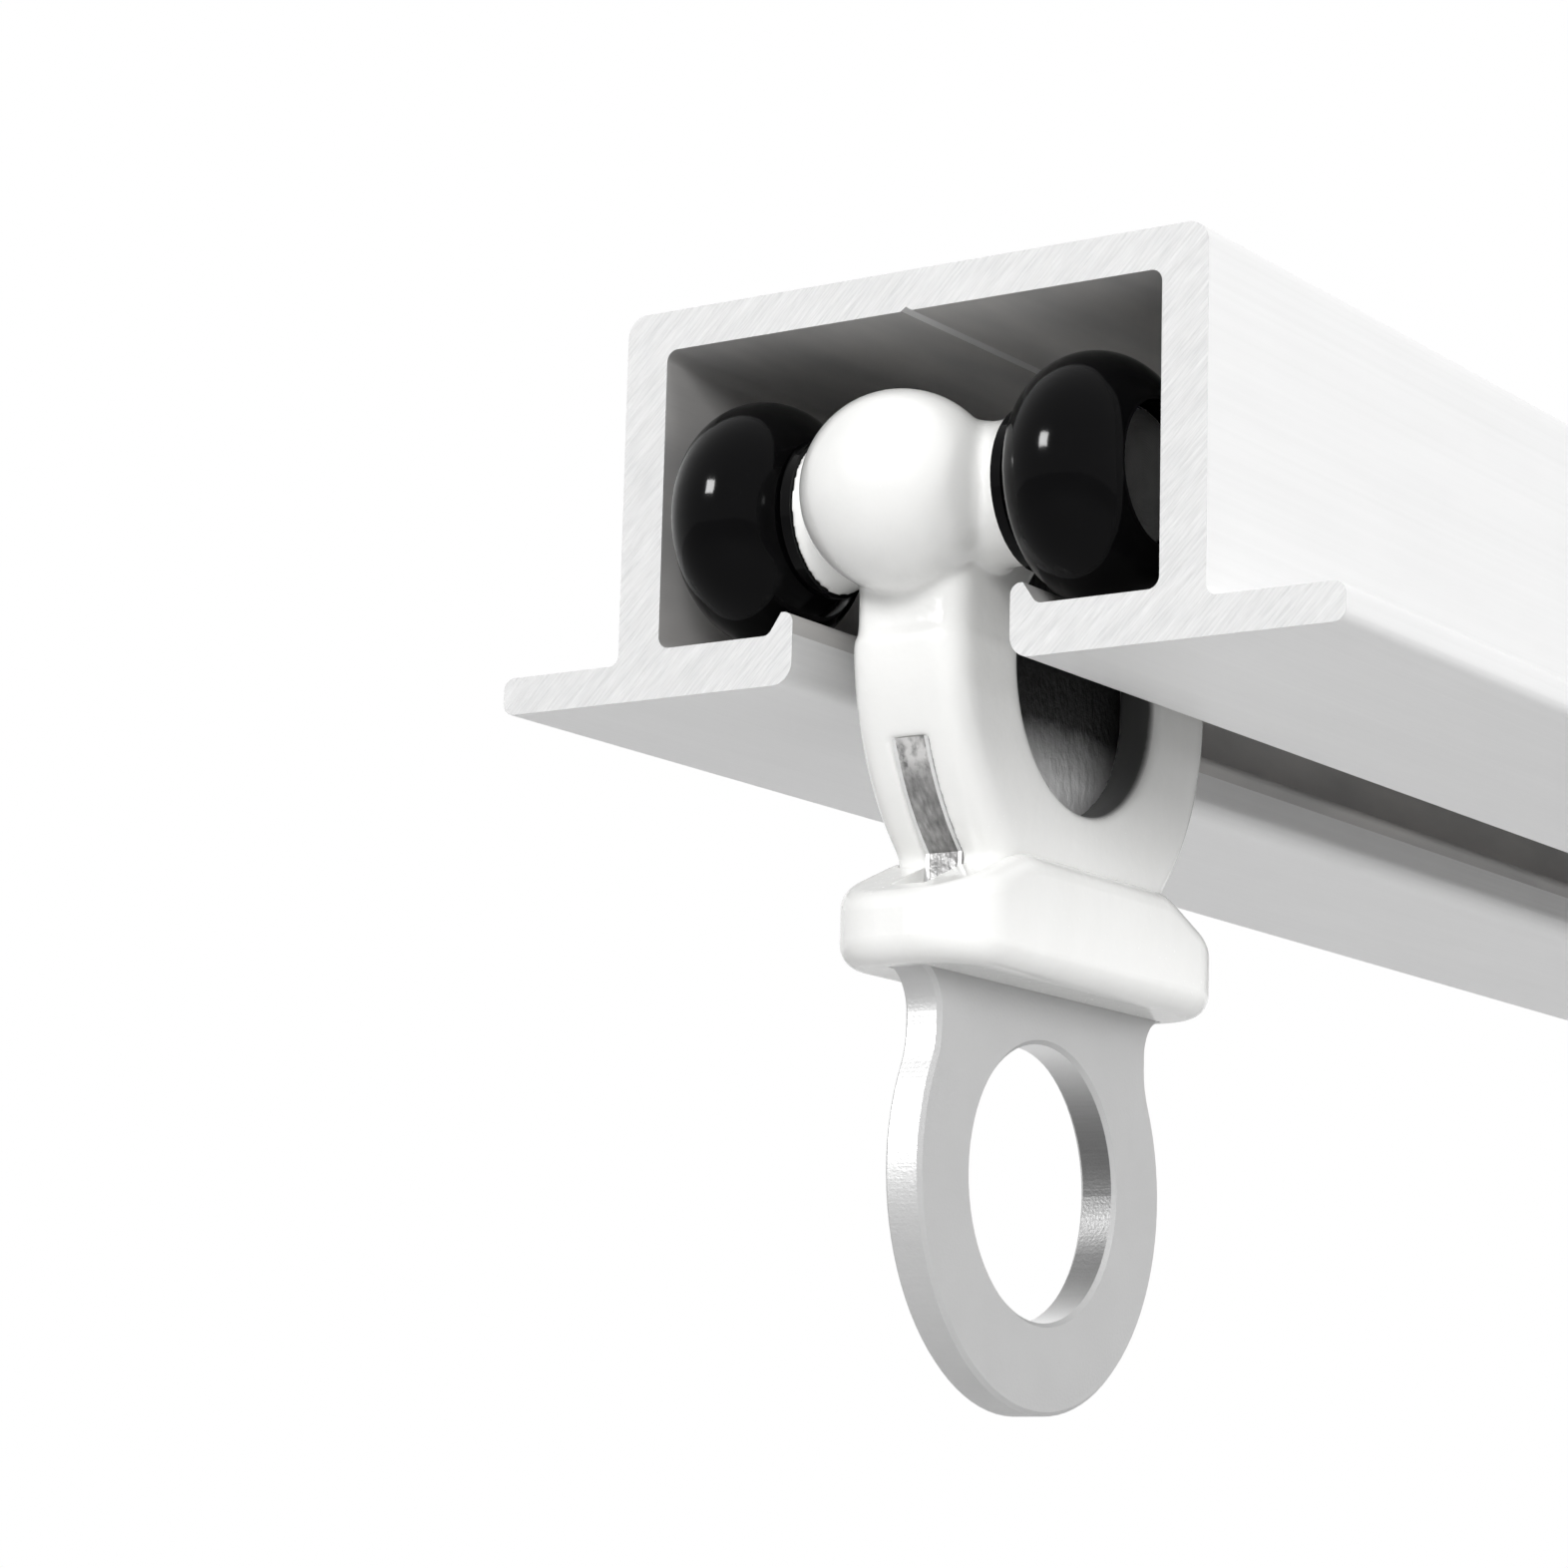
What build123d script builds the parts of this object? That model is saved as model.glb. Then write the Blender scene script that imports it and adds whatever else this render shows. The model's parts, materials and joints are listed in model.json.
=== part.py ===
"""Recessed ceiling curtain track: an extruded channel with side flanges, and one four-wheel runner in it.

X runs across the track, Y along it and Z up. The origin is the middle of the channel's top face, which goes
against the ceiling. Heights inside the script are given from the flanges' underside, and up() carries them to
that origin. The runner stands at the -Y end, with its front bumper halfway out of the channel.
"""
import os
from math import sqrt

from build123d import *

# Track profile
TRACK_LENGTH = 200.0
FLANGE_WIDTH = 35.0
FLANGE_THICKNESS = 1.4
BOX_WIDTH = 24.5
BOX_HEIGHT = 14.6
SIDE_WALL = 1.8
TOP_WALL = 1.5
LIP_THICKNESS = 1.85
SLOT_WIDTH = 9.1
RIDGE_HEIGHT = 0.8
RIDGE_FOOT = 1.05
RIDGE_TOP = 0.5
RIDGE_TOP_ROUND = 0.4
RIDGE_FOOT_ROUND = 0.4
GUIDE_GROOVE_WIDTH = 0.5
GUIDE_GROOVE_DEPTH = 0.15
BOX_CORNER = 0.8
CHANNEL_CORNER = 0.45
FLANGE_TIP_ROUND = 0.45
FLANGE_ROOT_ROUND = 0.4
SLOT_EDGE_ROUND = 0.8
SCREW_HOLE_DIAMETER = 4.5
SCREW_PITCH = 100.0

# Clearances of the runner in the track
WALL_CLEARANCE = 1.1
CEILING_CLEARANCE = 2.07
LEG_CLEARANCE = 2.15
WHEEL_LIFT = 0.08
RUNNER_INSET = 9.2

# Runner: wheels and axles
WHEELBASE = 14.3
WHEEL_WIDTH = 4.7
AXLE_DIAMETER = 2.0
AXLE_RUNNING_GAP = 0.05
SIDE_PLAY = 0.05
HEAD_INSIDE_TREAD = 2.1
HEAD_THICKNESS = 0.6
HEAD_BEVEL = 0.14
HEAD_RECESS_GAP = 0.12
HEAD_BELOW_FACE = 0.7
RECESS_RIM = 0.13
AXLE_END_IN_CAP = 0.35
SPACER_INSIDE_TREAD = 1.6
SPACER_THICKNESS = 0.4

# Runner: moulded body
BUMPER_INSIDE_BOSS = 0.55
BUMPER_AHEAD_OF_AXLE = 2.05
BOSS_INSIDE_SPACER = 0.1
BOSS_WAIST = 0.25
BOSS_FLARE_LENGTH = 0.9
BOSS_SWELL = 0.7
SPINE_TOP_ABOVE_AXLE = 2.5
SPINE_STEP = 0.1
SPINE_EDGE_ROUND = 0.9
NECK_SETBACK = 0.2
LEG_AHEAD_OF_AXLE = 2.0
LEG_TOP_HEIGHT = 1.45
LEG_MIDDLE_HEIGHT = -2.9
LEG_MIDDLE_SETBACK = 0.95
LEG_SHOULDER = 0.8
LEG_EDGE_ROUND = 1.0
WINDOW_RADIUS = 4.85
WINDOW_BELOW_LEG_TOP = 0.4
WINDOW_EDGE_ROUND = 0.4

# Runner: hanger plate
PLATE_THICKNESS = 1.5
RING_RADIUS = 8.3
RING_HOLE_RADIUS = 5.0
NECK_INSIDE_RING = 1.1
NECK_LENGTH = 2.75
NECK_ROUND = 3.0
FLARE_STEP = 1.55
FLARE_RISE = 0.05
FLARE_ROUND = 1.5
PLATE_BEVEL = 0.15
HORN_TOP = -2.2
WINDOW_REBATE = 0.8
HORN_SETBACK = 0.1
MOULD_FIT = 0.02

# Runner: collar and the foot inside it
COLLAR_DROP = 5.95
COLLAR_HEIGHT = 4.35
COLLAR_LEDGE = 0.8
COLLAR_END_WALL = 0.75
COLLAR_CORNER_LAND = 0.6
COLLAR_LEVEL_PART = 9.8
COLLAR_END_SLOPE = 1.95
COLLAR_CREASE_ROUND = 3.0
COLLAR_TOP_ROUND = 0.8
COLLAR_BOTTOM_ROUND = 0.9
SEAT_DEPTH = 1.45
SEAT_STEP = 0.08
TENON_LENGTH = 10.6
TENON_STEP = 0.4
TENON_FLOOR = 1.0
TENON_CORNER = 0.8
SHOULDER_COVER = 2.6

# How near a corner or a radius lies to the one that is looked for
MATCH = 0.001

# Wheel sizes worked out from the channel that they run in
SIDES = {"left": -1, "right": 1}
CHANNEL_HALF_WIDTH = BOX_WIDTH / 2 - SIDE_WALL
CHANNEL_TOP = BOX_HEIGHT - TOP_WALL
WHEEL_LOW = LIP_THICKNESS + WHEEL_LIFT
WHEEL_RADIUS = (CHANNEL_TOP - CEILING_CLEARANCE - WHEEL_LOW) / 2
WHEEL_OUTER_FACE = CHANNEL_HALF_WIDTH - WALL_CLEARANCE
WHEEL_INNER_FACE = WHEEL_OUTER_FACE - WHEEL_WIDTH
HEAD_RADIUS = WHEEL_RADIUS - HEAD_INSIDE_TREAD
HEAD_BACK = WHEEL_OUTER_FACE - HEAD_BELOW_FACE - HEAD_THICKNESS
RECESS_RADIUS = HEAD_RADIUS + HEAD_RECESS_GAP
WHEEL_FACE_RADIUS = RECESS_RADIUS + RECESS_RIM
SPACER_RADIUS = WHEEL_RADIUS - SPACER_INSIDE_TREAD
AXLE_HEIGHT = WHEEL_LOW + WHEEL_RADIUS
AXLE_OFFSETS = {"front": -WHEELBASE / 2, "rear": WHEELBASE / 2}

# Body, plate and collar sizes worked out from the wheels, the slot and the ring
BOSS_HALF_LENGTH = WHEEL_INNER_FACE - SIDE_PLAY - SPACER_THICKNESS
BOSS_END_RADIUS = SPACER_RADIUS - BOSS_INSIDE_SPACER
BUMPER_RADIUS = BOSS_HALF_LENGTH - BUMPER_INSIDE_BOSS
LEG_HALF_WIDTH = SLOT_WIDTH / 2 - LEG_CLEARANCE
LEG_TOP_REACH = WHEELBASE / 2 + LEG_AHEAD_OF_AXLE
LEG_FOOT_REACH = TENON_LENGTH / 2 + LEG_SHOULDER
SPINE_HALF_WIDTH = LEG_HALF_WIDTH - SPINE_STEP
WINDOW_HEIGHT = LEG_TOP_HEIGHT - WINDOW_BELOW_LEG_TOP
COLLAR_TOP = -COLLAR_DROP
COLLAR_BOTTOM = COLLAR_TOP - COLLAR_HEIGHT
NECK_HALF_WIDTH = RING_RADIUS - NECK_INSIDE_RING
FLARE_HALF_WIDTH = NECK_HALF_WIDTH + FLARE_STEP
FLARE_LOW = COLLAR_BOTTOM + FLARE_RISE
THROAT = sqrt(RING_RADIUS**2 - NECK_HALF_WIDTH**2)
RING_HEIGHT = FLARE_LOW - NECK_LENGTH - THROAT
COLLAR_HALF_LENGTH = FLARE_HALF_WIDTH + COLLAR_END_WALL
COLLAR_HALF_WIDTH = LEG_HALF_WIDTH + COLLAR_LEDGE


def up(height):
    """Z of a height that is given from the flanges' underside."""
    return height - BOX_HEIGHT


def block(half_width, low, high):
    """Rectangle across the middle of a section, from one height to another."""
    return Pos(0, (low + high) / 2) * Rectangle(2 * half_width, high - low)


def corners(face, x, height):
    """The two corners of a section at +x and -x."""
    return [v for v in face.vertices() if abs(abs(v.X) - x) < MATCH and abs(v.Y - height) < MATCH]


def track_section():
    """The extruded profile: a box open below, with a lip each side of the slot and a flange each side."""
    slot = SLOT_WIDTH / 2
    box = BOX_WIDTH / 2
    ridge_top = LIP_THICKNESS + RIDGE_HEIGHT
    section = block(box, 0, BOX_HEIGHT) + block(FLANGE_WIDTH / 2, 0, FLANGE_THICKNESS)
    section -= block(CHANNEL_HALF_WIDTH, LIP_THICKNESS, CHANNEL_TOP)
    section -= block(slot, 0, LIP_THICKNESS)
    for side in SIDES.values():
        ridge = Polyline(
            (side * slot, LIP_THICKNESS),
            (side * slot, ridge_top),
            (side * (slot + RIDGE_TOP), ridge_top),
            (side * (slot + RIDGE_FOOT), LIP_THICKNESS),
            close=True,
        )
        section += make_face(ridge)
    groove = Polyline(
        (-GUIDE_GROOVE_WIDTH / 2, CHANNEL_TOP),
        (0, CHANNEL_TOP + GUIDE_GROOVE_DEPTH),
        (GUIDE_GROOVE_WIDTH / 2, CHANNEL_TOP),
        close=True,
    )
    section -= make_face(groove)
    rounds = (
        (box, BOX_HEIGHT, BOX_CORNER),
        (box, FLANGE_THICKNESS, FLANGE_ROOT_ROUND),
        (CHANNEL_HALF_WIDTH, CHANNEL_TOP, CHANNEL_CORNER),
        (CHANNEL_HALF_WIDTH, LIP_THICKNESS, CHANNEL_CORNER),
        (FLANGE_WIDTH / 2, 0, FLANGE_TIP_ROUND),
        (FLANGE_WIDTH / 2, FLANGE_THICKNESS, FLANGE_TIP_ROUND),
        (slot, 0, SLOT_EDGE_ROUND),
        (slot, ridge_top, RIDGE_TOP_ROUND),
        (slot + RIDGE_FOOT, LIP_THICKNESS, RIDGE_FOOT_ROUND),
    )
    for x, height, radius in rounds:
        section = fillet(corners(section, x, height), radius)
    return section


def track_profile():
    """One cut length of the track, with screw holes along the middle of its top wall."""
    track = Pos(0, 0, up(0)) * extrude(Plane.XZ * track_section(), TRACK_LENGTH / 2, both=True)
    hole = Cylinder(SCREW_HOLE_DIAMETER / 2, BOX_HEIGHT)
    return track - [Pos(0, end * SCREW_PITCH / 2) * hole for end in (-1, 1)]


def turned(*outline):
    """Solid turned about the X axis from edges drawn as (x, radius)."""
    return revolve(make_face(list(outline)), Axis.X, 360)


def disc(x, radius, thickness):
    """Disc about the X axis, from x outwards."""
    return Pos(x + thickness / 2) * Rot(0, 90, 0) * Cylinder(radius, thickness)


def wheel():
    """Right-hand wheel: round tread, running bore, and a recess in its outer face for the axle's head."""
    bore = AXLE_DIAMETER / 2 + AXLE_RUNNING_GAP
    inner, outer = WHEEL_INNER_FACE, WHEEL_OUTER_FACE
    recess = HEAD_BACK - SIDE_PLAY
    tread = ThreePointArc(
        (inner, WHEEL_FACE_RADIUS), ((inner + outer) / 2, WHEEL_RADIUS), (outer, WHEEL_FACE_RADIUS)
    )
    web = Polyline(
        (outer, WHEEL_FACE_RADIUS), (outer, RECESS_RADIUS), (recess, RECESS_RADIUS), (recess, bore),
        (inner, bore), (inner, WHEEL_FACE_RADIUS),
    )
    return turned(tread, web)


def spacer():
    """Thin washer between the body's boss and the wheel."""
    hole = disc(BOSS_HALF_LENGTH, AXLE_DIAMETER / 2 + MOULD_FIT, SPACER_THICKNESS)
    return disc(BOSS_HALF_LENGTH, SPACER_RADIUS, SPACER_THICKNESS) - hole


def head():
    """Flat axle head at the +X side, with a bevel round its outer edge."""
    solid = disc(HEAD_BACK, HEAD_RADIUS, HEAD_THICKNESS)
    return chamfer(solid.faces().sort_by(Axis.X)[-1].edges(), HEAD_BEVEL)


def axle():
    """Axle with one head of its own, at the -X side."""
    pin = disc(-HEAD_BACK, AXLE_DIAMETER / 2, 2 * HEAD_BACK + AXLE_END_IN_CAP - MOULD_FIT)
    return pin + mirror(head(), Plane.YZ)


def axle_cap():
    """Head that is pressed on the axle's free end."""
    return head() - disc(HEAD_BACK, AXLE_DIAMETER / 2 + MOULD_FIT, AXLE_END_IN_CAP)


def side_extrude(face, half_width):
    """Solid made from a side view, drawn as (offset, height), by going half_width each way along X."""
    return extrude(Plane.YZ * face, half_width, both=True)


def leg_face(setback=0.0):
    """Side view of both legs and the web between them."""
    top, foot = LEG_TOP_REACH - setback, LEG_FOOT_REACH - setback
    middle = LEG_TOP_REACH - LEG_MIDDLE_SETBACK - setback
    curve = ThreePointArc((top, LEG_TOP_HEIGHT), (middle, LEG_MIDDLE_HEIGHT), (foot, COLLAR_TOP))
    other = mirror(curve, Plane.YZ)
    return make_face([curve, other, Line(curve @ 0, other @ 0), Line(curve @ 1, other @ 1)])


def window(radius=WINDOW_RADIUS):
    """Round opening between the legs, in the side view."""
    return Pos(0, WINDOW_HEIGHT) * Circle(radius)


def with_window(solid, half_width):
    """Solid with the window cut through it and the window's edges rounded."""
    solid -= side_extrude(window(), half_width)
    edges = [e for e in solid.edges().filter_by(GeomType.CIRCLE) if abs(e.radius - WINDOW_RADIUS) < MATCH]
    return fillet(edges, WINDOW_EDGE_ROUND)


def legs():
    """Two legs with a round window between them, rounded down their outer edges."""
    solid = side_extrude(leg_face(), LEG_HALF_WIDTH)
    solid = fillet(solid.edges().filter_by(GeomType.CIRCLE), LEG_EDGE_ROUND)
    return with_window(solid, LEG_HALF_WIDTH)


def spine():
    """Bar that joins the two bosses, with a neck down to each leg."""
    side = block(LEG_TOP_REACH - NECK_SETBACK, LEG_TOP_HEIGHT, AXLE_HEIGHT + SPINE_TOP_ABOVE_AXLE)
    solid = side_extrude(side, SPINE_HALF_WIDTH)
    solid = fillet(solid.edges().filter_by(Axis.Y).group_by(Axis.Z)[-1], SPINE_EDGE_ROUND)
    solid = fillet(solid.edges().filter_by(Axis.Z), SPINE_EDGE_ROUND)
    return with_window(solid, SPINE_HALF_WIDTH)


def boss():
    """Turned boss round an axle, waisted and then flared to the wheel."""
    end, end_radius = BOSS_HALF_LENGTH, BOSS_END_RADIUS
    waist, waist_radius = end - BOSS_FLARE_LENGTH, end_radius - BOSS_WAIST
    curve = Spline(
        (-end, end_radius), (-waist, waist_radius), (0, waist_radius + BOSS_SWELL), (waist, waist_radius),
        (end, end_radius),
    )
    return turned(curve, Polyline((end, end_radius), (end, 0), (-end, 0), (-end, end_radius)))


def foot(fit=0.0):
    """Foot of the body, which fills the collar's pocket: a seat just inside the legs' outline, then a tenon."""
    step = SEAT_STEP - fit
    seat = RectangleRounded(2 * (LEG_HALF_WIDTH - step), 2 * (LEG_FOOT_REACH - step), LEG_EDGE_ROUND)
    half_width = LEG_HALF_WIDTH - TENON_STEP + fit
    tenon = RectangleRounded(2 * half_width, TENON_LENGTH + 2 * fit, TENON_CORNER)
    solid = extrude(seat, -SEAT_DEPTH - fit) + extrude(tenon, TENON_FLOOR - COLLAR_HEIGHT - fit)
    return Pos(0, 0, COLLAR_TOP) * solid


def hanger_face(fit=0.0, horn_setback=HORN_SETBACK):
    """Side view of the hanger plate: ring, shoulders, horns, and a round web that closes the body's window."""
    throat = RING_HEIGHT + THROAT
    face = Pos(0, RING_HEIGHT) * Circle(RING_RADIUS) + block(NECK_HALF_WIDTH, RING_HEIGHT, FLARE_LOW)
    face += block(FLARE_HALF_WIDTH + fit, FLARE_LOW, COLLAR_TOP - SHOULDER_COVER + fit)
    face = fillet(corners(face, NECK_HALF_WIDTH, FLARE_LOW), FLARE_ROUND)
    face = fillet(corners(face, NECK_HALF_WIDTH, throat), NECK_ROUND)
    face += block(LEG_FOOT_REACH - horn_setback, COLLAR_BOTTOM, COLLAR_TOP)
    face += leg_face(horn_setback) & block(2 * LEG_TOP_REACH, COLLAR_TOP, HORN_TOP + fit)
    return face + window(WINDOW_RADIUS + WINDOW_REBATE + fit)


def hanger_plate():
    """Stamped plate: the ring hangs below the collar, and horns and web run up inside the legs."""
    plate = side_extrude(hanger_face() - Pos(0, RING_HEIGHT) * Circle(RING_HOLE_RADIUS), PLATE_THICKNESS / 2)
    rims = plate.faces().filter_by(Axis.X).edges()
    return chamfer([rim for rim in rims if rim.center().Z < FLARE_LOW], PLATE_BEVEL)


def plate_slot():
    """Room that the plate takes in the body and the collar, open down the legs' outer faces."""
    return side_extrude(hanger_face(MOULD_FIT, -MOULD_FIT), PLATE_THICKNESS / 2 + MOULD_FIT)


def carriage_body():
    """White moulding: two bumpers, two bosses, the spine, the legs and the foot, over the hanger plate."""
    body = legs() + spine() + foot()
    bore = disc(-BOSS_HALF_LENGTH, AXLE_DIAMETER / 2 + MOULD_FIT, 2 * BOSS_HALF_LENGTH)
    ball = Rot(90, 0, 0) * Sphere(BUMPER_RADIUS)
    for offset in AXLE_OFFSETS.values():
        ahead = BUMPER_AHEAD_OF_AXLE if offset > 0 else -BUMPER_AHEAD_OF_AXLE
        body += Pos(0, offset, AXLE_HEIGHT) * boss()
        body += Pos(0, offset + ahead, AXLE_HEIGHT) * ball
    for offset in AXLE_OFFSETS.values():
        body -= Pos(0, offset, AXLE_HEIGHT) * bore
    return body - plate_slot()


def collar_block():
    """The collar before it is hollowed: its top slopes down to both ends and its edges are rounded."""
    level, end = COLLAR_LEVEL_PART / 2, COLLAR_HALF_LENGTH
    end_top = COLLAR_TOP - COLLAR_END_SLOPE
    side = Polyline(
        (-end, COLLAR_BOTTOM), (end, COLLAR_BOTTOM), (end, end_top), (level, COLLAR_TOP), (-level, COLLAR_TOP),
        (-end, end_top), close=True,
    )
    side = make_face(side)
    side = fillet(corners(side, level, COLLAR_TOP), COLLAR_CREASE_ROUND)
    corner = COLLAR_HALF_WIDTH - COLLAR_CORNER_LAND
    outline = RectangleRounded(2 * COLLAR_HALF_WIDTH, 2 * end, corner)
    solid = Pos(0, 0, COLLAR_BOTTOM) * extrude(outline, COLLAR_HEIGHT) & side_extrude(side, COLLAR_HALF_WIDTH)
    tops = [face for face in solid.faces() if face.normal_at().Z > MATCH]
    rim = [edge for edge in solid.edges() if sum(edge in face.edges() for face in tops) == 1]
    solid = fillet(rim, COLLAR_TOP_ROUND)
    return fillet(solid.faces().sort_by(Axis.Z)[0].edges(), COLLAR_BOTTOM_ROUND)


def collar():
    """Collar round the body's foot and the plate, notched at both ends down to the plate's horns."""
    notch = block(COLLAR_HALF_LENGTH, COLLAR_TOP - SEAT_DEPTH, COLLAR_TOP)
    notch = side_extrude(notch, PLATE_THICKNESS / 2 + MOULD_FIT)
    return collar_block() - foot(MOULD_FIT) - notch - plate_slot()


def runner_parts():
    """Every piece of the runner by name, in its place at the -Y end of the track."""
    place = Location((0, RUNNER_INSET - TRACK_LENGTH / 2, up(0)))
    parts = {
        "carriage_body": place * carriage_body(),
        "collar": place * collar(),
        "hanger_plate": place * hanger_plate(),
    }
    for end, offset in AXLE_OFFSETS.items():
        on_axle = place * Pos(0, offset, AXLE_HEIGHT)
        parts[f"{end}_axle"] = on_axle * axle()
        parts[f"{end}_axle_cap"] = on_axle * axle_cap()
        for name, piece in (("wheel", wheel()), ("spacer", spacer())):
            parts[f"{end}_right_{name}"] = on_axle * piece
            parts[f"{end}_left_{name}"] = on_axle * mirror(piece, Plane.YZ)
    return parts


def main():
    """Write one STEP file for each piece."""
    os.makedirs("parts", exist_ok=True)
    for name, piece in {"track_profile": track_profile(), **runner_parts()}.items():
        export_step(piece, f"parts/{name}.step")


main()
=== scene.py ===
"""Looks of the recessed ceiling curtain track: its runner's moulding, every finish, the studio and the camera.

Everything is in metres in the part's own frame: X runs across the track, Y along it and Z up, and the origin is
the middle of the channel's top face. MM turns a size in millimetres into metres.
"""

import json
import logging
import math
from collections.abc import Mapping
from dataclasses import dataclass
from enum import Enum
from typing import TypeAlias, Union

import bpy
from mathutils import Matrix, Vector


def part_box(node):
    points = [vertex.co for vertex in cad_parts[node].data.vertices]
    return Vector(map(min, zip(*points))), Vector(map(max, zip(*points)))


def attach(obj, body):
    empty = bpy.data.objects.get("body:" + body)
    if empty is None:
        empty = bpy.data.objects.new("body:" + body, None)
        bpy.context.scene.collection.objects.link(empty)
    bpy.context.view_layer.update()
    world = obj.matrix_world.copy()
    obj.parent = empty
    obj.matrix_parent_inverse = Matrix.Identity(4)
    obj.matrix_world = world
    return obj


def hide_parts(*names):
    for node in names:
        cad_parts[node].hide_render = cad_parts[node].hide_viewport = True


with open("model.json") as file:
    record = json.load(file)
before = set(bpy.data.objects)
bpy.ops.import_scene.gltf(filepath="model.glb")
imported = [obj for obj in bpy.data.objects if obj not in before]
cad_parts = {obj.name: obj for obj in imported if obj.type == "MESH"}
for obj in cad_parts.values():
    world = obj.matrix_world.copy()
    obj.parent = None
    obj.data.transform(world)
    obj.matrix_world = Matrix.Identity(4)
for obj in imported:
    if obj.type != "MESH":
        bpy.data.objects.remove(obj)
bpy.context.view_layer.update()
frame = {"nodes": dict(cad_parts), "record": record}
SEEN_RAYS = ("Camera", "Glossy", "Transmission")
LOG = logging.getLogger("curtain_track")
MM = 0.001

Colour: TypeAlias = tuple[float, float, float, float]
Point: TypeAlias = tuple[float, float, float]
Value: TypeAlias = Union["Signal", float, Colour, Point]


def grey(level: float, warmth: float = 0.0) -> Colour:
    """Near-grey colour of one level, tipped to warm or, below zero, to cool."""
    return (level * (1 + warmth), level, level * (1 - warmth), 1.0)


WHITE = grey(1.0)


@dataclass(frozen=True)
class Tone:
    """Near-grey between a dark and a light level, each with a warmth of its own."""

    dark: float
    light: float
    dark_warmth: float = 0.0
    light_warmth: float = 0.0


@dataclass(frozen=True)
class Grain:
    """Noise pattern: its features' lengths in millimetres and its turn in radians, each for X, Y and Z.

    detail adds finer layers. With a contrast, the noise spreads from its middle to 0 and 1.
    """

    lengths: Point
    turn: Point = (0.0, 0.0, 0.0)
    detail: float = 2.0
    contrast: float | None = None
    middle: float = 0.5


class Signal:
    """Output of a node that Python's own arithmetic works on, each step adding its Math node."""

    def __init__(self, graph: "Graph", socket: bpy.types.NodeSocket | None) -> None:
        """Keeps the socket, which is None on a node that ends its tree, and the graph that it belongs to."""
        self.graph = graph
        self.socket = socket

    def _math(self, operation: str, first: Value, second: Value = 0.0) -> "Signal":
        """Adds one Math node.

        Args:
            operation: The Math node's operation.
            first: Its first value or link.
            second: Its second value or link.

        Returns:
            The node's result.
        """
        return self.graph.add("ShaderNodeMath", {"operation": operation}, {0: first, 1: second})

    def __add__(self, other: Value) -> "Signal":
        """Sum."""
        return self._math("ADD", self, other)

    def __sub__(self, other: Value) -> "Signal":
        """Difference."""
        return self._math("SUBTRACT", self, other)

    def __rsub__(self, other: Value) -> "Signal":
        """Difference from a number."""
        return self._math("SUBTRACT", other, self)

    def __mul__(self, other: Value) -> "Signal":
        """Product."""
        return self._math("MULTIPLY", self, other)

    def __truediv__(self, other: Value) -> "Signal":
        """Quotient."""
        return self._math("DIVIDE", self, other)

    def __pow__(self, other: Value) -> "Signal":
        """Power."""
        return self._math("POWER", self, other)

    def __abs__(self) -> "Signal":
        """Size without its sign."""
        return self._math("ABSOLUTE", self)

    def __gt__(self, other: Value) -> "Signal":
        """1 where this is larger, else 0."""
        return self._math("GREATER_THAN", self, other)

    def __lt__(self, other: Value) -> "Signal":
        """1 where this is smaller, else 0."""
        return self._math("LESS_THAN", self, other)

    def __or__(self, other: Value) -> "Signal":
        """The larger, which is 1 where either mask is 1."""
        return self._math("MAXIMUM", self, other)

    __radd__ = __add__
    __rmul__ = __mul__

    def clamped(self) -> "Signal":
        """This value, kept between 0 and 1."""
        return self._math("MINIMUM", self._math("MAXIMUM", self, 0.0), 1.0)

    def sharpened(self, contrast: float, middle: float = 0.5) -> "Signal":
        """This value with more contrast round a middle, kept between 0 and 1."""
        return ((self - middle) * contrast + 0.5).clamped()

    def rippled(self, noise: "Signal", depth: float) -> "Signal":
        """This value moved up and down by a noise round 0.5, kept between 0 and 1."""
        return (self + (noise - 0.5) * depth).clamped()

    def toward(self, other: "Signal", share: float) -> "Signal":
        """Sum of this value and another, which counts for that share of it."""
        return self * (1 - share) + other * share

    def wave(self, pitch: float) -> "Signal":
        """Sine wave between 0 and 1 that comes round once in each pitch."""
        return self._math("SINE", self * (2 * math.pi / pitch)) * 0.5 + 0.5


class Graph:
    """Node tree of a material or of the world."""

    def __init__(self, owner: bpy.types.ID) -> None:
        """Empties the tree of its owner."""
        owner.use_nodes = True
        self.owner = owner
        self.tree = owner.node_tree
        self.tree.nodes.clear()

    def add(
        self,
        kind: str,
        settings: Mapping[str, object] | None = None,
        inputs: Mapping[str | int, Value] | None = None,
        output: str | int = 0,
    ) -> Signal:
        """Makes a node.

        Args:
            kind: The node's type.
            settings: Its own settings, which are set before its inputs.
            inputs: A value or a link for each input that isn't left as it is.
            output: The output that is wanted.

        Returns:
            That output.
        """
        node = self.tree.nodes.new(kind)
        for name, value in (settings or {}).items():
            setattr(node, name, value)
        for key, value in (inputs or {}).items():
            if isinstance(value, Signal):
                self.tree.links.new(value.socket, node.inputs[key])
            else:
                node.inputs[key].default_value = value
        return Signal(self, node.outputs[output] if node.outputs else None)

    def seen(self) -> Signal:
        """1 for the camera and for what it sees in gloss or through glass, else 0."""
        rays = (self.add("ShaderNodeLightPath", output=f"Is {ray} Ray") for ray in SEEN_RAYS)
        camera, glossy, through = rays
        return camera | glossy | through


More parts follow.
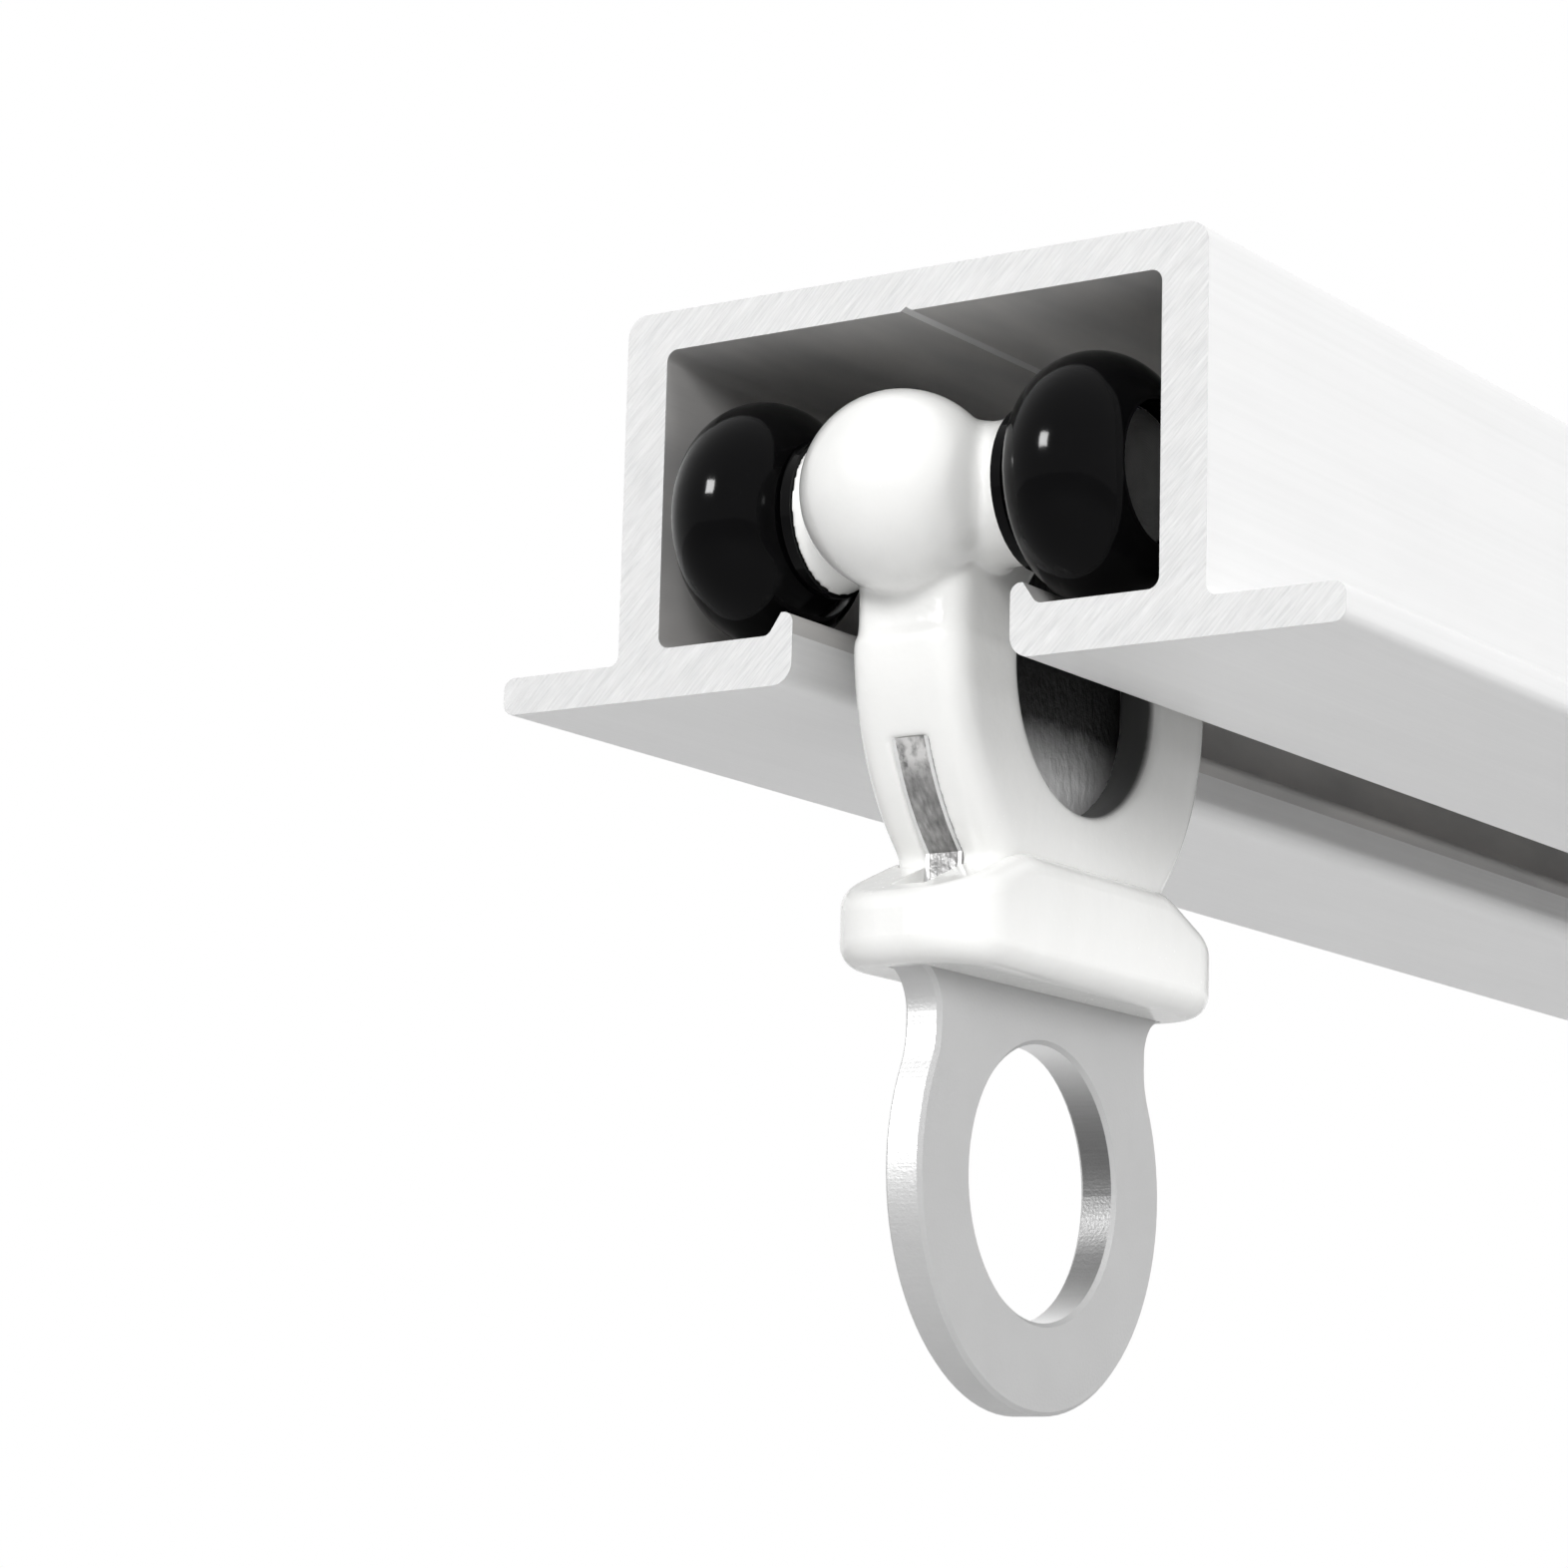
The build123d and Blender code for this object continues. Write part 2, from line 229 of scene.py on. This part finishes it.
class Finish(Graph):
    """Node tree of one finish, read from Object coordinates."""

    def __init__(self, name: str) -> None:
        """Starts an empty material of that name."""
        super().__init__(bpy.data.materials.new(name))
        self.place = self.add("ShaderNodeTexCoord", output="Object")
        axes = (self.add("ShaderNodeSeparateXYZ", inputs={0: self.place}, output=axis) for axis in "XYZ")
        self.x, self.y, self.z = axes

    def grain(self, pattern: Grain) -> Signal:
        """Noise of a pattern, round 0.5, or from 0 to 1 where the pattern has a contrast."""
        lengths = tuple(length * MM for length in pattern.lengths)
        inputs = {"Vector": self.place, "Rotation": pattern.turn, "Scale": lengths}
        spot = self.add("ShaderNodeMapping", {"vector_type": "TEXTURE"}, inputs)
        noise = self.add("ShaderNodeTexNoise", inputs={"Vector": spot, "Scale": 1.0, "Detail": pattern.detail})
        return noise if pattern.contrast is None else noise.sharpened(pattern.contrast, pattern.middle)

    def reach(self, y: float, z: float) -> Signal:
        """Distance from the line across the track at that Y and Z."""
        along, rise = self.y - y, self.z - z
        return (along * along + rise * rise) ** 0.5

    def mix(self, share: Value, first: Value, second: Value) -> Signal:
        """Colour between two, going to the second as share goes to 1."""
        settings = {"data_type": "RGBA"}
        return self.add("ShaderNodeMix", settings, {"Factor": share, 6: first, 7: second}, output=2)

    def tone(self, share: Value, tone: Tone) -> Signal:
        """Colour of a tone, going to its light level as share goes to 1."""
        return self.mix(share, grey(tone.dark, tone.dark_warmth), grey(tone.light, tone.light_warmth))

    def relief(self, height: Signal, depth: float) -> Signal:
        """Normal for a height of 0 to 1 that stands for a depth in metres."""
        return self.add("ShaderNodeBump", inputs={"Height": height, "Distance": depth}, output="Normal")

    def finish(self, inputs: Mapping[str | int, Value]) -> bpy.types.Material:
        """Ends the tree in one Principled surface with those inputs."""
        surface = self.add("ShaderNodeBsdfPrincipled", inputs=inputs)
        self.add("ShaderNodeOutputMaterial", inputs={"Surface": surface})
        return self.owner


@dataclass(frozen=True)
class SatinExtrusion:
    """Anodised aluminium: die lines along its walls, saw marks on its cut ends and shade painted into the
    channel as a darker tone.
    """

    half_length: float
    channel_half_width: float
    channel_low: float
    channel_high: float
    edge: float = 0.02 * MM
    walls: Tone = Tone(0.7998, 0.9116)
    # painted shade: the channel's inner faces take this darker tone in place of the shade that falls inside the
    # track
    channel: Tone = Tone(0.435, 0.725, -0.01, 0.03)
    cut: Tone = Tone(0.5185, 0.61, -0.015, 0.01)
    scratched: float = 0.793
    die_lines: Grain = Grain((0.18, 60, 0.18), detail=3)
    clouds: Grain = Grain((2.2, 9, 2.2))
    scratches: Grain = Grain((1.5, 4, 0.085), (0, -math.radians(45), 0), 3, 2.4)
    chatter: Grain = Grain((3.5, 4, 0.32), (0, -math.radians(38), 0), contrast=1.8)
    blotches: Grain = Grain((0.9, 4, 0.9))
    line_share: float = 0.6
    scratch_share: float = 0.7
    roughness: float = 0.34
    line_roughness: float = 0.12
    channel_roughness: float = 0.2
    cut_roughness: float = 0.26
    scratch_roughness: float = 0.1
    metallic: float = 0.14
    cut_metallic: float = 0.05
    relief: float = 0.02 * MM
    line_relief: float = 0.35
    scratch_relief: float = 0.7
    chatter_relief: float = 0.6

    def build(self) -> bpy.types.Material:
        """Makes the material."""
        g = Finish("satin_extrusion")
        end = abs(g.y) > self.half_length - self.edge
        level = (g.z > self.channel_low - self.edge) * (g.z < self.channel_high + self.edge)
        # mask of the channel's inner faces, where shade is painted in as a darker tone and the surface is
        # rougher
        shaded_channel = (abs(g.x) < self.channel_half_width + self.edge) * level * (1 - end)
        lines, clouds = g.grain(self.die_lines), g.grain(self.clouds)
        scratches, chatter = g.grain(self.scratches), g.grain(self.chatter)
        walls = g.tone(clouds.toward(lines, self.line_share), self.walls)
        cut = g.tone(g.grain(self.blotches), self.cut)
        cut = g.mix(chatter.toward(scratches, self.scratch_share), cut, grey(self.scratched))
        sawn = scratches * self.scratch_roughness + self.cut_roughness
        smooth = lines * self.line_roughness + shaded_channel * self.channel_roughness + self.roughness
        saw_marks = scratches * self.scratch_relief + chatter * self.chatter_relief
        height = end * saw_marks + (1 - end) * lines * self.line_relief
        return g.finish({
            "Base Color": g.mix(end, g.mix(shaded_channel, walls, g.tone(clouds, self.channel)), cut),
            "Roughness": end * sawn + smooth,
            "Metallic": self.metallic - end * (self.metallic - self.cut_metallic),
            "Normal": g.relief(height, self.relief),
        })


@dataclass(frozen=True)
class GlossMoulding:
    """White moulded plastic with a wet gloss and a faint flow pattern; on the wall of the round window it is
    matt and painted dark as shade, darkest at its top.
    """

    window_y: float
    window_z: float
    window_radius: float
    white: Colour = (0.9, 0.9, 0.886, 1.0)
    shade: Colour = (0.84, 0.84, 0.826, 1.0)
    flow: Grain = Grain((1.6, 1.6, 5), detail=3)
    flow_contrast: float = 1.6
    dust: Grain = Grain((0.12, 0.12, 0.12), detail=1, contrast=5, middle=0.72)
    orange_peel: Grain = Grain((0.5, 0.5, 0.5))
    flow_share: float = 0.6
    dust_share: float = 0.2
    # painted shade on the round window's wall: from the dark level at its top, where the shadow falls, to the
    # light one at its foot
    window_shade: Tone = Tone(0.03, 0.12)
    window_shade_margin: float = 0.12 * MM
    window_shade_edge: float = 0.1 * MM
    window_shade_ripple: float = 0.5
    roughness: float = 0.15
    flow_roughness: float = 0.1
    dust_roughness: float = 0.1
    window_shade_roughness: float = 0.3
    relief: float = 0.012 * MM
    coat: float = 0.35
    coat_roughness: float = 0.06

    def build(self) -> bpy.types.Material:
        """Makes the material."""
        g = Finish("gloss_moulding")
        flow, dust = g.grain(self.flow), g.grain(self.dust)
        reach = g.reach(self.window_y, self.window_z)
        # painted shade: a mask of the round window's wall, and a grey that is darkest at its top and lighter
        # towards its foot
        window_shade = ((self.window_radius + self.window_shade_margin - reach) / self.window_shade_edge).clamped()
        low = (self.window_z + self.window_radius - g.z) / (2 * self.window_radius)
        window_shade_grey = g.tone(low.rippled(flow, self.window_shade_ripple), self.window_shade)
        shaded = flow.sharpened(self.flow_contrast) * self.flow_share + dust * self.dust_share
        patchy = flow * self.flow_roughness + dust * self.dust_roughness
        return g.finish({
            "Base Color": g.mix(window_shade, g.mix(shaded, self.white, self.shade), window_shade_grey),
            "Roughness": patchy + window_shade * self.window_shade_roughness + self.roughness,
            "Normal": g.relief(g.grain(self.orange_peel), self.relief),
            "Coat Weight": self.coat - window_shade * self.coat,
            "Coat Roughness": self.coat_roughness,
        })


@dataclass(frozen=True)
class PolishedBlack:
    """Hard black plastic with a high polish and fine handling marks."""

    colour: Colour = (0.0008, 0.0008, 0.001, 1.0)
    worn: Colour = (0.002, 0.002, 0.0023, 1.0)
    clouds: Grain = Grain((1.3, 1.3, 1.3), detail=3)
    hairs: Grain = Grain((0.9, 0.03, 0.03), (0.4, 0.2, 0.5), contrast=5, middle=0.66)
    roughness: float = 0.06
    cloud_roughness: float = 0.07
    hair_roughness: float = 0.06
    relief: float = 0.01 * MM
    specular: float = 0.08

    def build(self) -> bpy.types.Material:
        """Makes the material."""
        g = Finish("polished_black")
        clouds, hairs = g.grain(self.clouds), g.grain(self.hairs)
        return g.finish({
            "Base Color": g.mix(clouds, self.colour, self.worn),
            "Roughness": clouds * self.cloud_roughness + hairs * self.hair_roughness + self.roughness,
            "Normal": g.relief(clouds, self.relief),
            "Specular IOR Level": self.specular,
        })


@dataclass(frozen=True)
class StampedSteel:
    """Matt grey plated sheet: sheared rims with lines across them, and rough bare metal above the collar."""

    half_thickness: float
    bare_above: float
    glint_above: float
    shaded_above: float
    hole_y: float
    hole_z: float
    hole_radius: float
    face: Tone = Tone(0.4929, 0.5671)
    sheared: float = 0.5936
    # painted highlight and painted shade in the ring's bore: light towards its top and foot, dark at its middle
    # height
    bore_painted_highlight: float = 0.92
    bore_painted_shade: Tone = Tone(0.112, 0.168)
    bare_metal: Tone = Tone(0.12, 0.36, light_warmth=0.01)
    # painted shade on the faces above the collar: near black at the top of the web, lighter lower down, as if
    # shadowed by the track
    web_painted_shade: Tone = Tone(0.02, 0.7)
    # painted highlight: the bare rims turn this light grey towards their top, as a glint
    painted_glint: Colour = grey(0.62, 0.01)
    # painted shade: a near-black line along the rims' chamfered edges, where the plate sits in the moulding's
    # slot
    crease_shade: float = 0.02
    speckle: Grain = Grain((0.11, 0.11, 0.11), detail=3)
    clouds: Grain = Grain((2.5, 2.5, 2.5))
    shear: Grain = Grain((2.4, 0.11, 0.11), detail=3)
    lumps: Grain = Grain((0.4, 0.42, 0.6), detail=4)
    streaks: Grain = Grain((0.16, 0.3, 1.6), detail=3, contrast=2.5)
    cloud_share: float = 0.6
    shear_share: float = 0.4
    streak_share: float = 0.6
    lump_contrast: float = 3.0
    bore_margin: float = 0.05 * MM
    bore_falloff: float = 4.0
    glint_rise: float = 0.7 * MM
    glint_contrast: float = 5.0
    glint_middle: float = 0.45
    crease_shade_edge: float = 0.1 * MM
    crease_shade_share: float = 0.9
    shade_rise: float = 2.2 * MM
    shade_ripple: float = 0.5
    roughness: float = 0.4
    speckle_roughness: float = 0.12
    bare_roughness: float = 0.02
    rim_smoothness: float = 0.06
    metallic: float = 0.5
    relief: float = 0.03 * MM
    speckle_relief: float = 0.3
    shear_relief: float = 0.12
    lump_relief: float = 2.5

    def build(self) -> bpy.types.Material:
        """Makes the material."""
        g = Finish("stamped_steel")
        rim = abs(g.x) < self.half_thickness
        above = g.z > self.bare_above
        speckle, shear = g.grain(self.speckle), g.grain(self.shear)
        clouds, lumps = g.grain(self.clouds), g.grain(self.lumps)
        plated = g.tone(speckle.toward(clouds, self.cloud_share), self.face)
        plated = g.mix(rim * shear * self.shear_share, plated, grey(self.sheared))
        plated = self.shade_bore(g, rim, shear, plated)
        bare = self.roughen(g, rim, clouds, lumps)
        flat = speckle * self.speckle_relief + rim * shear * self.shear_relief
        return g.finish({
            "Base Color": g.mix(above, plated, bare),
            "Roughness": (
                speckle * self.speckle_roughness + above * self.bare_roughness + self.roughness
                - rim * self.rim_smoothness
            ),
            "Metallic": self.metallic,
            "Normal": g.relief(flat + above * lumps * self.lump_relief, self.relief),
        })

    def shade_bore(self, g: Finish, rim: Signal, shear: Signal, plated: Signal) -> Signal:
        """Colour with the ring's bore in it, with painted shade at its middle height and a painted highlight
        towards its top and foot.

        Args:
            g: The finish.
            rim: 1 on the sheet's rims.
            shear: The lines across them.
            plated: The colour without the bore.

        Returns:
            The colour.
        """
        bore = rim * (g.reach(self.hole_y, self.hole_z) < self.hole_radius + self.bore_margin)
        height = abs(g.z - self.hole_z) / self.hole_radius
        # painted shade at the bore's middle height, fading to the painted highlight towards its top and foot
        worn = (1 - height ** self.bore_falloff).clamped()
        return g.mix(bore, plated, g.mix(worn, grey(self.bore_painted_highlight), g.tone(shear, self.bore_painted_shade)))

    def roughen(self, g: Finish, rim: Signal, clouds: Signal, lumps: Signal) -> Signal:
        """Colour of the bare metal above the collar.

        Args:
            g: The finish.
            rim: 1 on the sheet's rims.
            clouds: The wide pattern.
            lumps: The rough one.

        Returns:
            The colour, streaked on the rims, with a painted glint towards their top and painted shade along
            their edges, and on the faces painted shade that is darkest at the top.
        """
        patchy = lumps.sharpened(self.lump_contrast).toward(g.grain(self.streaks), self.streak_share)
        rough = g.tone(patchy, self.bare_metal)
        # painted highlight: a glint on the rims that grows towards their top
        painted_glint =((g.z - self.glint_above) / self.glint_rise).clamped()
        painted_glint = painted_glint * lumps.sharpened(self.glint_contrast, self.glint_middle)
        rough = g.mix(painted_glint, rough, self.painted_glint)
        # painted shade along the rims' chamfered edges
        crease_shade = ((abs(g.x) - self.half_thickness) / self.crease_shade_edge).clamped()
        rough = g.mix(crease_shade * self.crease_shade_share, rough, grey(self.crease_shade))
        # painted shade on the faces, darkest at the top
        below = ((self.shaded_above - g.z) / self.shade_rise).rippled(clouds, self.shade_ripple)
        return g.mix(rim, g.tone(below, self.web_painted_shade), rough)


@dataclass(frozen=True)
class DarkAxle:
    """Steel, faced off on the lathe, with its face painted dark as a reflection of the dark channel and its
    chamfered rim round the head painted light as a highlight.
    """

    end: str
    centre_y: float
    centre_z: float
    bevel_from: float
    # painted reflection and painted highlight: the head's face is dark as if mirroring the dark channel, its
    # chamfered rim light
    face: Tone = Tone(0.128, 0.208)
    rim_highlight: float = 0.5
    clouds: Grain = Grain((0.8, 0.8, 0.8), detail=3)
    ring_pitch: float = 0.09 * MM
    roughness: float = 0.3
    cloud_roughness: float = 0.16
    bevel_smoothness: float = 0.1
    metallic: float = 0.5
    relief: float = 0.004 * MM

    def build(self) -> bpy.types.Material:
        """Makes the material."""
        g = Finish(f"dark_axle_{self.end}")
        radius = g.reach(self.centre_y, self.centre_z)
        # mask of the head's chamfered rim, which is painted light as a highlight
        rim_highlight = radius > self.bevel_from
        clouds = g.grain(self.clouds)
        return g.finish({
            "Base Color": g.mix(rim_highlight, g.tone(clouds, self.face), grey(self.rim_highlight)),
            "Roughness": clouds * self.cloud_roughness + self.roughness - rim_highlight * self.bevel_smoothness,
            "Metallic": self.metallic,
            "Normal": g.relief(radius.wave(self.ring_pitch), self.relief),
        })


def select_only(thing: bpy.types.Object) -> None:
    """Leaves one object selected and active."""
    bpy.ops.object.select_all(action="DESELECT")
    thing.select_set(True)
    bpy.context.view_layer.objects.active = thing


def dress(thing: bpy.types.Object, finish: bpy.types.Material) -> None:
    """Puts one finish in every material slot of an object."""
    if not thing.material_slots:
        thing.data.materials.append(finish)
    for slot in thing.material_slots:
        slot.material = finish


@dataclass
class Track:
    """The extruded profile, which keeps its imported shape."""

    side_wall: float = 1.8 * MM
    top_wall: float = 1.5 * MM
    lip_top: float = -12.75 * MM
    box_width: float = 24.5 * MM

    def build(self) -> list[bpy.types.Object]:
        """Dresses the profile.

        Returns:
            The profile.
        """
        node = frame["nodes"]["track_profile"]
        _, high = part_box("track_profile")
        channel_half_width = self.box_width / 2 - self.side_wall
        dress(node, SatinExtrusion(high[1], channel_half_width, self.lip_top, -self.top_wall).build())
        return [node]


@dataclass
class RunnerBody:
    """White moulding of the runner, with its ball ends, bosses and legs run into each other."""

    middle_y: float
    window_height: float
    held_round_window: float = 5.9 * MM
    boss_end: float = 4.2 * MM
    held_at_boss: float = 0.5 * MM
    slot_half_width: float = 1.15 * MM
    slot_below: float = -16.4 * MM
    slot_softness: float = 0.25
    foot_top: float = -20.9 * MM
    join_distance: float = 0.001 * MM
    voxel: float = 0.13 * MM
    blend_steps: int = 22
    blend_factor: float = 0.5

    def build(self, finish: bpy.types.Material) -> bpy.types.Object:
        """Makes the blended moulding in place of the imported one.

        Args:
            finish: The white plastic.

        Returns:
            The new piece, riding on the carriage.
        """
        node = frame["nodes"]["carriage_body"]
        select_only(node)
        bpy.ops.object.duplicate()
        skin = bpy.context.active_object
        skin.name = "runner_moulding"
        self.join_faces()
        self.even_out(skin)
        self.blend(skin)
        bpy.ops.object.shade_smooth()
        dress(skin, finish)
        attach(skin, "carriage")
        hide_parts("carriage_body")
        return skin

    def join_faces(self) -> None:
        """Merges the active mesh's loose triangles."""
        bpy.ops.object.mode_set(mode="EDIT")
        bpy.ops.mesh.select_all(action="SELECT")
        bpy.ops.mesh.remove_doubles(threshold=self.join_distance)
        bpy.ops.object.mode_set(mode="OBJECT")

    def even_out(self, skin: bpy.types.Object) -> None:
        """Gives the mesh one even grid of faces."""
        remesh = skin.modifiers.new("even_skin", "REMESH")
        remesh.mode = "VOXEL"
        remesh.voxel_size = self.voxel
        bpy.ops.object.modifier_apply(modifier=remesh.name)

    def softness(self, spot: Vector) -> float:
        """How freely a place blends, from 0 to 1."""
        if spot.z < self.foot_top or abs(spot.x) > self.boss_end - self.held_at_boss:
            return 0.0
        reach = math.hypot(spot.y - self.middle_y, spot.z - self.window_height)
        beside_plate = spot.z < self.slot_below or reach < self.held_round_window
        return self.slot_softness if abs(spot.x) < self.slot_half_width and beside_plate else 1.0

    def blend(self, skin: bpy.types.Object) -> None:
        """Smooths the roots between the forms, and holds the bosses' ends, the slot and the foot."""
        group = skin.vertex_groups.new(name="blend")
        for vertex in skin.data.vertices:
            group.add([vertex.index], self.softness(vertex.co), "REPLACE")
        smooth = skin.modifiers.new("blend", "SMOOTH")
        smooth.factor = self.blend_factor
        smooth.iterations = self.blend_steps
        smooth.vertex_group = group.name
        bpy.ops.object.modifier_apply(modifier=smooth.name)


@dataclass
class Runner:
    """Everything that rolls along the track."""

    plate_half_thickness: float = 0.75 * MM
    plate_bevel: float = 0.15 * MM
    notch_low: float = -22.0 * MM
    # heights on the plate: its painted glint starts at the first, and the painted shade on its faces lies above
    # the second
    horn_glint: float = -18.2 * MM
    web_shaded: float = -14.9 * MM
    ring_hole_radius: float = 5.0 * MM
    window_radius: float = 4.85 * MM
    window_height: float = -13.55 * MM
    head_radius: float = 2.45 * MM
    head_bevel: float = 0.14 * MM
    head_margin: float = 0.02 * MM

    def build(self) -> list[bpy.types.Object]:
        """Dresses the runner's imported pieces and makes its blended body.

        Returns:
            The pieces that show.
        """
        nodes = frame["nodes"]
        _, middle_y, ring_z = self.ring_place()
        white = GlossMoulding(middle_y, self.window_height, self.window_radius).build()
        body = RunnerBody(middle_y, self.window_height).build(white)
        dress(nodes["collar"], white)
        dress(nodes["hanger_plate"], self.steel(middle_y, ring_z))
        shown = [body, nodes["collar"], nodes["hanger_plate"]]
        black = PolishedBlack().build()
        bevel_from = self.head_radius - self.head_bevel - self.head_margin
        for end in ("front", "rear"):
            _, y, z = self.axle_place(end)
            dark = DarkAxle(end, y, z, bevel_from).build()
            looks = {f"{end}_{name}": dark for name in ("axle", "axle_cap")}
            for side in ("left", "right"):
                looks |= {f"{end}_{side}_{name}": black for name in ("wheel", "spacer")}
            for name, finish in looks.items():
                dress(nodes[name], finish)
                shown.append(nodes[name])
        return shown

    def steel(self, ring_y: float, ring_z: float) -> bpy.types.Material:
        """Finish of the plate whose ring has its hole's middle at that Y and Z."""
        flat = self.plate_half_thickness - self.plate_bevel
        zones = (self.notch_low, self.horn_glint, self.web_shaded)
        return StampedSteel(flat, *zones, ring_y, ring_z, self.ring_hole_radius).build()

    def ring_place(self) -> Point:
        """Middle of the ring's hole, from its mount."""
        mounts = frame["record"]["mounts"]
        return next(tuple(mount["pos_m"]) for mount in mounts if mount["name"] == "ring_hole")

    def axle_place(self, end: str) -> Point:
        """Middle of an axle, from the joint of the wheel on it."""
        joints = frame["record"]["behaviour"]["joints"]
        return next(tuple(joint["pos_m"]) for joint in joints if joint["name"] == f"{end}_left_spin")


class Aim(Enum):
    """What a lamp points at."""

    RUNNER = (0.0, -0.095, -0.015)
    TRACK = (0.0, 0.0, -0.01)


@dataclass(frozen=True)
class Softbox:
    """Square-sided studio lamp, placed by its direction from what it lights.

    Its angles are in degrees. A mirrored one shows in gloss alone, and the others light without showing.
    """

    name: str
    azimuth: float
    elevation: float
    distance: float
    width: float
    height: float
    power: float
    aim: Aim = Aim.RUNNER
    mirrored: bool = False

    def build(self) -> bpy.types.Object:
        """Makes the lamp and points it."""
        turn, rise = math.radians(self.azimuth), math.radians(self.elevation)
        out = Vector((math.sin(turn) * math.cos(rise), -math.cos(turn) * math.cos(rise), math.sin(rise)))
        light = bpy.data.lights.new(self.name, "AREA")
        light.shape = "RECTANGLE"
        light.size, light.size_y, light.energy = self.width, self.height, self.power
        lamp = bpy.data.objects.new(self.name, light)
        lamp.location = Vector(self.aim.value) + out * self.distance
        lamp.rotation_euler = out.to_track_quat("Z", "Y").to_euler()
        lamp.visible_camera = False
        lamp.visible_glossy = self.mirrored
        lamp.visible_diffuse = not self.mirrored
        bpy.context.scene.collection.objects.link(lamp)
        return lamp


@dataclass
class Studio:
    """Pale floor well below the hung track, even white surroundings and soft lamps."""

    floor_height: float = -0.45
    floor_size: float = 12.0
    floor_colour: Colour = (0.74, 0.74, 0.74, 1.0)
    floor_white_share: float = 0.6
    surroundings: float = 0.15
    seen_white: float = 1.0
    lamps: tuple[Softbox, ...] = (
        Softbox("key_softbox", -18, 40, 1.1, 0.26, 0.42, 3.5),
        Softbox("front_softbox", 20, 20, 1.1, 0.4, 0.4, 8.0),
        Softbox("side_softbox", 96, 22, 1.3, 0.9, 0.7, 11.0, Aim.TRACK),
        Softbox("back_softbox", 215, 14, 1.3, 0.9, 0.7, 5.5, Aim.TRACK),
        Softbox("spark_lamp", -18, 24, 1.0, 0.24, 0.2, 13.0, mirrored=True),
    )

    def build(self) -> list[bpy.types.Object]:
        """Makes the floor, the surroundings and the lamps.

        Returns:
            The floor and the lamps.
        """
        bpy.context.scene.view_settings.view_transform = "Standard"
        bpy.ops.object.select_all(action="DESELECT")
        bpy.ops.mesh.primitive_plane_add(size=self.floor_size, location=(0, 0, self.floor_height))
        floor = bpy.context.active_object
        floor.name = "floor"
        dress(floor, self.floor_finish())
        self.light_surroundings()
        return [floor, *(lamp.build() for lamp in self.lamps)]

    def floor_finish(self) -> bpy.types.Material:
        """Matt pale floor that is part white to the camera, in reflections and through glass."""
        g = Graph(bpy.data.materials.new("pale_floor"))
        matt = g.add("ShaderNodeBsdfDiffuse", inputs={"Color": self.floor_colour})
        white = g.add("ShaderNodeEmission", inputs={"Color": WHITE, "Strength": self.seen_white})
        share = g.seen() * self.floor_white_share
        surface = g.add("ShaderNodeMixShader", inputs={0: share, 1: matt, 2: white})
        g.add("ShaderNodeOutputMaterial", inputs={"Surface": surface})
        return g.owner

    def light_surroundings(self) -> None:
        """World that is white to the camera, in gloss and through glass, and gives a plain level of light."""
        bpy.context.scene.world = bpy.data.worlds.new("surroundings")
        g = Graph(bpy.context.scene.world)
        strength = g.add("ShaderNodeMix", inputs={0: g.seen(), 2: self.surroundings, 3: self.seen_white})
        light = g.add("ShaderNodeBackground", inputs={"Color": WHITE, "Strength": strength})
        g.add("ShaderNodeOutputWorld", inputs={"Surface": light})


@dataclass(frozen=True)
class Viewpoint:
    """Camera close to the track's end and a little below it, looking up along the channel.

    Its turns are in degrees. The focal length is in the photograph's pixels, and the sensor in millimetres.
    """

    eye: Point = (83.44 * MM, -227.95 * MM, -46.97 * MM)
    heading: float = 34.57
    rise: float = 10.48
    roll: float = 1.5
    focal_pixels: float = 4465.5
    frame_pixels: float = 1572.0
    sensor: float = 36.0
    nearest: float = 0.01
    furthest: float = 50.0

    def build(self) -> list[bpy.types.Object]:
        """Makes the camera and gives it to the scene.

        Returns:
            The camera.
        """
        lens = bpy.data.cameras.new("viewpoint")
        lens.sensor_width = self.sensor
        lens.lens = self.focal_pixels / self.frame_pixels * self.sensor
        lens.clip_start, lens.clip_end = self.nearest, self.furthest
        camera = bpy.data.objects.new("viewpoint", lens)
        aim = Matrix.Identity(4)
        for degrees, axis in ((self.heading, "Z"), (90 + self.rise, "X"), (self.roll, "Z")):
            aim = aim @ Matrix.Rotation(math.radians(degrees), 4, axis)
        camera.matrix_world = Matrix.Translation(self.eye) @ aim
        bpy.context.scene.collection.objects.link(camera)
        bpy.context.scene.camera = camera
        return [camera]


def main() -> None:
    """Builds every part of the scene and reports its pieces."""
    logging.basicConfig(level=logging.INFO, format="%(name)s: %(message)s")
    for part in (Viewpoint(), Studio(), Track(), Runner()):
        for piece in part.build():
            LOG.info("%s: %s", type(part).__name__, piece.name)


if __name__ == "__main__":
    main()
